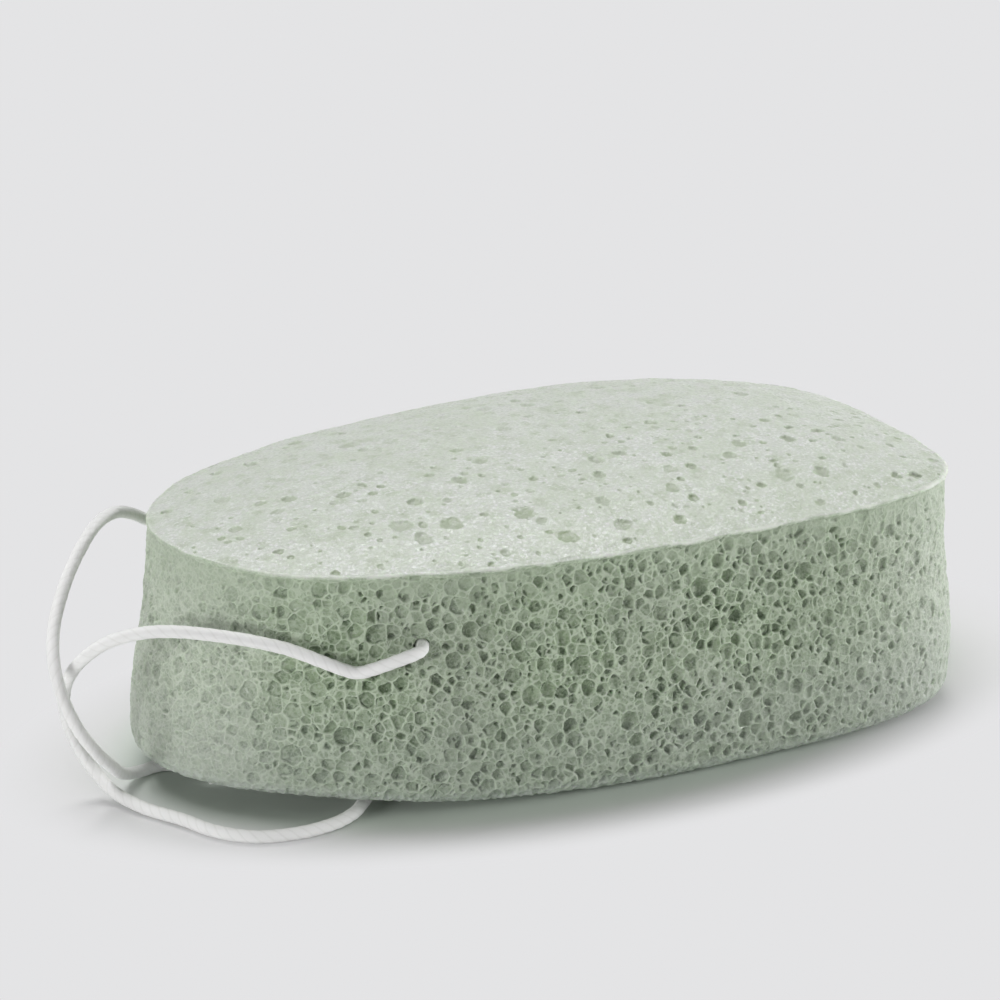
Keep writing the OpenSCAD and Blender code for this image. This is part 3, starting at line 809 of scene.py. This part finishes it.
# the rim is a little wavy
near_rim = np.where(np.arange(len(points)) < wall_n, smooth(points[:, 2], RIM_H - 3, RIM_H - 0.8),
                    smooth(share_out(points + (MID_X, 0, 0)), 0.93, 0.985)) * (np.arange(len(points)) < ring_start)
flat = points * (1, 1, 0)
carved[:, 2] += near_rim * (0.16 * lumps(flat, 4.3, 41) + 0.08 * lumps(flat, 1.6, 42))

# ---------------------------------------------------------------- the bake layout and the mesh

step = np.linalg.norm(np.diff(wall, axis=0), axis=2).mean(1)
up = np.r_[0, np.cumsum(step)]
round_way = np.r_[0, np.cumsum(np.linalg.norm(np.diff(np.vstack([wall[60], wall[60][:1]]), axis=0), axis=1))]
SHEET = 212.0
MARGIN = 2.0
half_way = COLUMNS // 2


def wall_uv():
    u = np.broadcast_to(round_way[None, :], (len(up), COLUMNS + 1))
    v = np.broadcast_to(up[:, None], u.shape)
    corner = np.stack([np.stack([u[:-1, :-1], v[:-1, :-1]], -1), np.stack([u[:-1, 1:], v[:-1, 1:]], -1),
                       np.stack([u[1:, 1:], v[1:, 1:]], -1), np.stack([u[1:, :-1], v[1:, :-1]], -1)], 2)
    second = (np.arange(COLUMNS) >= half_way)[None, :, None]
    corner[..., 0] -= np.where(second, round_way[half_way], 0)
    corner[..., 1] += np.where(second, up[-1] + MARGIN, 0)
    return corner.reshape(-1, 4, 2) + MARGIN


def flat_uv(ids, x_from, y_from):
    flat = points[ids][..., :2]
    return np.stack([flat[..., 1] + x_from, flat[..., 0] + y_from], -1)


wall_high = 2 * (up[-1] + MARGIN) + MARGIN
top_quads, belly_quads = grid_quads(top_ids), grid_quads(belly_ids)[:, ::-1]
uv = np.concatenate([
    wall_uv().reshape(-1, 2),
    flat_uv(top_quads, MARGIN + SPONGE_W / 2, wall_high + SPONGE_L / 2 + MARGIN).reshape(-1, 2),
    flat_uv(belly_quads, 3 * MARGIN + 1.5 * SPONGE_W, wall_high + SPONGE_L / 2 + MARGIN).reshape(-1, 2),
    flat_uv(stitch, 3 * MARGIN + 1.5 * SPONGE_W, wall_high + SPONGE_L / 2 + MARGIN).reshape(-1, 2)]) / SHEET


def foam_object():
    mesh = new_mesh("foam_sponge", carved, np.concatenate([quads.ravel(), stitch.ravel()]),
                    np.r_[np.full(len(quads), 4), np.full(len(stitch), 3)])
    mesh.uv_layers.new(name="OFBake").data.foreach_set("uv", uv.astype(np.float32).ravel())
    for name, values in (("deep", deep / MOST_DEEP), ("mouth", mouth), ("window", window), ("tone", tone),
                         ("strut", strut), ("skin", skin), ("lip", lip), ("foot", 1 - foot_fade)):
        set_values(mesh, name, values)
    piece = riding("foam_sponge", mesh)
    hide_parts("sponge_body")
    return piece


foam = foam_object()


def web(tree, place, scale, thin, wide):
    """Value socket that is 1 on the thin walls of a fine foam and 0 inside its cells."""
    cells = add_node(tree, "ShaderNodeTexVoronoi", {"Vector": place, "Scale": scale}, feature="DISTANCE_TO_EDGE")
    return ramp(tree, cells.outputs["Distance"], thin, wide, 1.0, 0.0)


def foam_material():
    material, tree, shader = new_material("damp_konjac_foam")
    place = add_node(tree, "ShaderNodeTexCoord").outputs["Object"]
    ridge, plate = (0.53, 0.615, 0.475, 1), (0.27, 0.34, 0.235, 1)
    cell_pale, cell_dark, painted_shade_green = (0.255, 0.335, 0.205, 1), (0.15, 0.215, 0.115, 1), (0.085, 0.135, 0.07, 1)
    skin_pale, skin_green, pore_green = (0.62, 0.655, 0.60, 1), (0.565, 0.62, 0.52, 1), (0.38, 0.45, 0.31, 1)
    grain = noise(tree, place, 900, 3, 0.6)
    specks = noise(tree, place, 3400, 2, 0.6)
    warped = add_node(tree, "ShaderNodeVectorMath", {0: place, 1: add_node(tree, "ShaderNodeVectorMath", {
        0: add_node(tree, "ShaderNodeTexNoise", {"Vector": place, "Scale": 1100.0}).outputs["Color"],
        1: (0.0005, 0.0005, 0.0005)}, operation="MULTIPLY").outputs[0]}, operation="ADD").outputs[0]
    fine_web = web(tree, warped, 1500, 0.04, 0.2)
    # inside a bubble: its own tone, painted darker with depth as painted shade of the hollow, with the webs of the
    # bubbles behind it
    cell = mixed(tree, ramp(tree, attribute(tree, "tone"), 0, 1), cell_pale, cell_dark)
    # painted shade: the deeper a cell, the more of the dark shade green it gets
    cell = mixed(tree, ramp(tree, attribute(tree, "deep"), 0.3, 1.0, 0, 0.35), cell, painted_shade_green)
    # painted shade: where a cell sees through a window into the next bubble, it is painted dark
    cell = mixed(tree, sums(tree, "MULTIPLY", attribute(tree, "window"), 0.65), cell, painted_shade_green)
    cell = mixed(tree, sums(tree, "MULTIPLY", attribute(tree, "strut"), 0.4), cell, ridge)
    cell = mixed(tree, sums(tree, "MULTIPLY", fine_web, 0.22), cell, ridge)
    # between the bubbles: plates of much finer foam
    between = mixed(tree, ramp(tree, grain, 0.35, 0.65), cell_pale, plate)
    between = mixed(tree, sums(tree, "MULTIPLY", fine_web, 0.7), between, ridge)
    edge_at = attribute(tree, "mouth")
    wall_colour = mixed(tree, ramp(tree, edge_at, 0.0, 0.1), between, cell)
    line = ramp(tree, sums(tree, "ABSOLUTE", edge_at), 0.02, 0.13, 0.9, 0.0)
    line = sums(tree, "MULTIPLY", line, ramp(tree, noise(tree, place, 500, 2), 0.35, 0.6, 0.2, 1.0))
    wall_colour = mixed(tree, line, wall_colour, ridge)
    grey = ramp(tree, noise(tree, place, 60, 2), 0.45, 0.7, 0, 0.25)
    wall_colour = mixed(tree, grey, wall_colour, (0.38, 0.40, 0.36, 1))
    # painted highlight: pale specks on the wall stand for small wet glints
    wall_colour = mixed(tree, ramp(tree, specks, 0.6, 0.75, 0, 0.5), wall_colour, (0.6, 0.62, 0.59, 1))
    # less contrast towards the blunt end
    where = add_node(tree, "ShaderNodeSeparateXYZ", {0: place}).outputs
    wall_colour = mixed(tree, ramp(tree, where["X"], 0.0, 0.03, 0.0, 0.28), wall_colour, (0.34, 0.41, 0.30, 1))
    # painted light: the two ends, facing the side lamps, are painted paler and dull
    ends = sums(tree, "MAXIMUM", ramp(tree, where["X"], -0.058, -0.042, 0.65, 0.0),
                ramp(tree, where["X"], 0.025, 0.057, 0.0, 0.75))
    painted_end_light = mixed(tree, ramp(tree, grain, 0.35, 0.65), (0.40, 0.46, 0.37, 1), (0.56, 0.62, 0.52, 1))
    painted_end_light = mixed(tree, sums(tree, "MULTIPLY", fine_web, 0.6), painted_end_light, (0.68, 0.72, 0.64, 1))
    wall_colour = mixed(tree, ends, wall_colour, painted_end_light)
    # a pale band under the lip, a paler, greyer bottom as painted light of the floor's bounce, and pale crumbs at
    # its edge
    wall_colour = mixed(tree, ramp(tree, where["Z"], 0.026, 0.035, 0.0, 0.4), wall_colour, (0.47, 0.55, 0.42, 1))
    # painted light: towards the bottom the wall is painted paler and greyer, where the floor's bounce falls
    wall_colour = mixed(tree, ramp(tree, where["Z"], 0.005, 0.022, 0.35, 0.0), wall_colour, (0.43, 0.46, 0.43, 1))
    crumbs = sums(tree, "MULTIPLY", attribute(tree, "foot"), ramp(tree, grain, 0.35, 0.6, 0.3, 0.9))
    wall_colour = mixed(tree, crumbs, wall_colour, (0.56, 0.61, 0.56, 1))
    # the top skin: pale patches with painted glints as fine silvery specks, stronger to the front, faint green cells
    # under it, and open pores
    patchy = ramp(tree, noise(tree, place, 190, 4, 0.6), 0.38, 0.62, 0.2, 0.9)
    skin_colour = mixed(tree, patchy, skin_green, skin_pale)
    under = add_node(tree, "ShaderNodeTexVoronoi", {"Vector": warped, "Scale": 330.0}, feature="SMOOTH_F1")
    faint = ramp(tree, under.outputs["Distance"], 0.12, 0.4, 0.45, 0.0)
    skin_colour = mixed(tree, faint, skin_colour, pore_green)
    skin_colour = mixed(tree, ramp(tree, where["Y"], -0.034, -0.02, 0.45, 0.0), skin_colour, skin_green)
    flecks = noise(tree, place, 1900, 3, 0.65)
    # painted highlight: glints painted into the skin's colour, fainter towards the back
    painted_glint = sums(tree, "MULTIPLY", ramp(tree, flecks, 0.5, 0.64), ramp(tree, patchy, 0, 1, 0.3, 0.85))
    painted_glint = sums(tree, "MULTIPLY", painted_glint, ramp(tree, where["Y"], -0.01, 0.02, 1.0, 0.5))
    skin_colour = mixed(tree, painted_glint, skin_colour, (0.80, 0.82, 0.80, 1))
    skin_colour = mixed(tree, ramp(tree, flecks, 0.3, 0.44, 0.35, 0.0), skin_colour, pore_green)
    pore_colour = mixed(tree, ramp(tree, flecks, 0.35, 0.6), pore_green, (0.33, 0.40, 0.26, 1))
    veiled = sums(tree, "MULTIPLY", attribute(tree, "window"), ramp(tree, grain, 0.35, 0.55, 0.55, 1.0))
    skin_colour = mixed(tree, veiled, skin_colour, pore_colour)
    colour = mixed(tree, attribute(tree, "skin"), wall_colour, skin_colour)
    torn = ramp(tree, noise(tree, place, 260, 2), 0.38, 0.55, 0.15, 0.8)
    broken = sums(tree, "MULTIPLY", attribute(tree, "lip"), torn)
    broken = sums(tree, "MULTIPLY", broken, ramp(tree, where["X"], -0.056, -0.038, 0.1, 1.0))
    colour = mixed(tree, broken, colour, (0.80, 0.83, 0.77, 1))
    tree.links.new(colour, shader.inputs["Base Color"])
    rough = mixed(tree, attribute(tree, "skin"), (0.6, 0.6, 0.6, 1), (0.45, 0.45, 0.45, 1))
    tree.links.new(rough, shader.inputs["Roughness"])
    height = sums(tree, "ADD", sums(tree, "MULTIPLY", grain, 0.5),
                  sums(tree, "ADD", sums(tree, "MULTIPLY", specks, 0.35), sums(tree, "MULTIPLY", fine_web, 0.2)))
    bump = add_node(tree, "ShaderNodeBump", {"Strength": 0.4, "Distance": 0.0003, "Height": height})
    tree.links.new(bump.outputs["Normal"], shader.inputs["Normal"])
    wet = ramp(tree, noise(tree, place, 2000, 2, 0.5), 0.52, 0.62, 0.0, 0.4)
    tree.links.new(wet, shader.inputs["Coat Weight"])
    shader.inputs["Coat Roughness"].default_value = 0.15
    shader.inputs["Subsurface Weight"].default_value = 0.5
    shader.inputs["Subsurface Radius"].default_value = (0.8, 1.0, 0.7)
    shader.inputs["Subsurface Scale"].default_value = 0.0008
    return material


foam.data.materials.append(foam_material())

# ---------------------------------------------------------------- floor, backdrop and light


PALE = (0.775, 0.775, 0.785, 1)
PLAIN_FROM, PLAIN_TO = 1.06, 1.42


def add_floor():
    bpy.ops.object.select_all(action="DESELECT")
    bpy.ops.mesh.primitive_plane_add(size=6, location=(0, 0, 0))
    floor = bpy.context.object
    floor.name = "floor"
    material, tree, shader = new_material("pale_floor")
    shader.inputs["Roughness"].default_value = 0.9
    shader.inputs["Specular IOR Level"].default_value = 0.1
    # far from the object the floor is plain to the camera, without the lamps' fall-off
    place = add_node(tree, "ShaderNodeTexCoord").outputs["Object"]
    moved = add_node(tree, "ShaderNodeVectorMath", {0: place, 1: (-0.003, 0, 0)}, operation="ADD").outputs[0]
    spread = add_node(tree, "ShaderNodeVectorMath", {0: moved, 1: (2000 / SPONGE_L, 2000 / SPONGE_W, 0)},
                      operation="MULTIPLY").outputs[0]
    away = add_node(tree, "ShaderNodeVectorMath", {0: spread}, operation="LENGTH").outputs["Value"]
    seen = add_node(tree, "ShaderNodeLightPath").outputs["Is Camera Ray"]
    plain = sums(tree, "MULTIPLY", seen, ramp(tree, away, PLAIN_FROM, PLAIN_TO))
    # painted light: the floor close to the sponge is tinted green, standing for green light bounced off the foam
    near = mixed(tree, ramp(tree, away, 1.0, 1.2), (0.68, 0.74, 0.68, 1), (0.8, 0.8, 0.8, 1))
    tree.links.new(near, shader.inputs["Base Color"])
    glow = add_node(tree, "ShaderNodeEmission", {"Color": PALE, "Strength": 1.0})
    both = add_node(tree, "ShaderNodeMixShader", {0: plain, 1: shader.outputs[0], 2: glow.outputs[0]})
    tree.links.new(both.outputs[0], tree.nodes["Material Output"].inputs["Surface"])
    floor.data.materials.append(material)


def add_light(name, place, at, size, power, size_y=None):
    data = bpy.data.lights.new(name, "AREA")
    data.shape, data.size, data.size_y = "RECTANGLE", size, size_y or size
    data.energy = power
    light = bpy.data.objects.new(name, data)
    bpy.context.scene.collection.objects.link(light)
    light.location = place
    light.rotation_euler = (Vector(at) - Vector(place)).to_track_quat("-Z", "Y").to_euler()


add_floor()
add_light("overhead", (0.0, 0.36, 0.88), (0, 0, 0.02), 0.9, 6.6, size_y=0.36)
add_light("left_low", (-0.95, -0.3, 0.2), (0, 0, 0.02), 0.4, 3.8, size_y=0.2)
add_light("right_low", (0.95, -0.35, 0.2), (0, 0, 0.02), 0.4, 6.2, size_y=0.2)
add_light("front_low", (-0.1, -1.2, 0.17), (0, 0, 0.02), 0.8, 1.7, size_y=0.2)
world = bpy.data.worlds.new("pale_room")
bpy.context.scene.world = world
world.use_nodes = True
sky = world.node_tree.nodes["Background"]
lit = add_node(world.node_tree, "ShaderNodeLightPath")
seen = sums(world.node_tree, "MAXIMUM", lit.outputs["Is Camera Ray"],
            sums(world.node_tree, "MAXIMUM", lit.outputs["Is Glossy Ray"], lit.outputs["Is Transmission Ray"]))
shade = mixed(world.node_tree, seen, (0.1, 0.1, 0.1, 1), PALE)
world.node_tree.links.new(shade, sky.inputs["Color"])
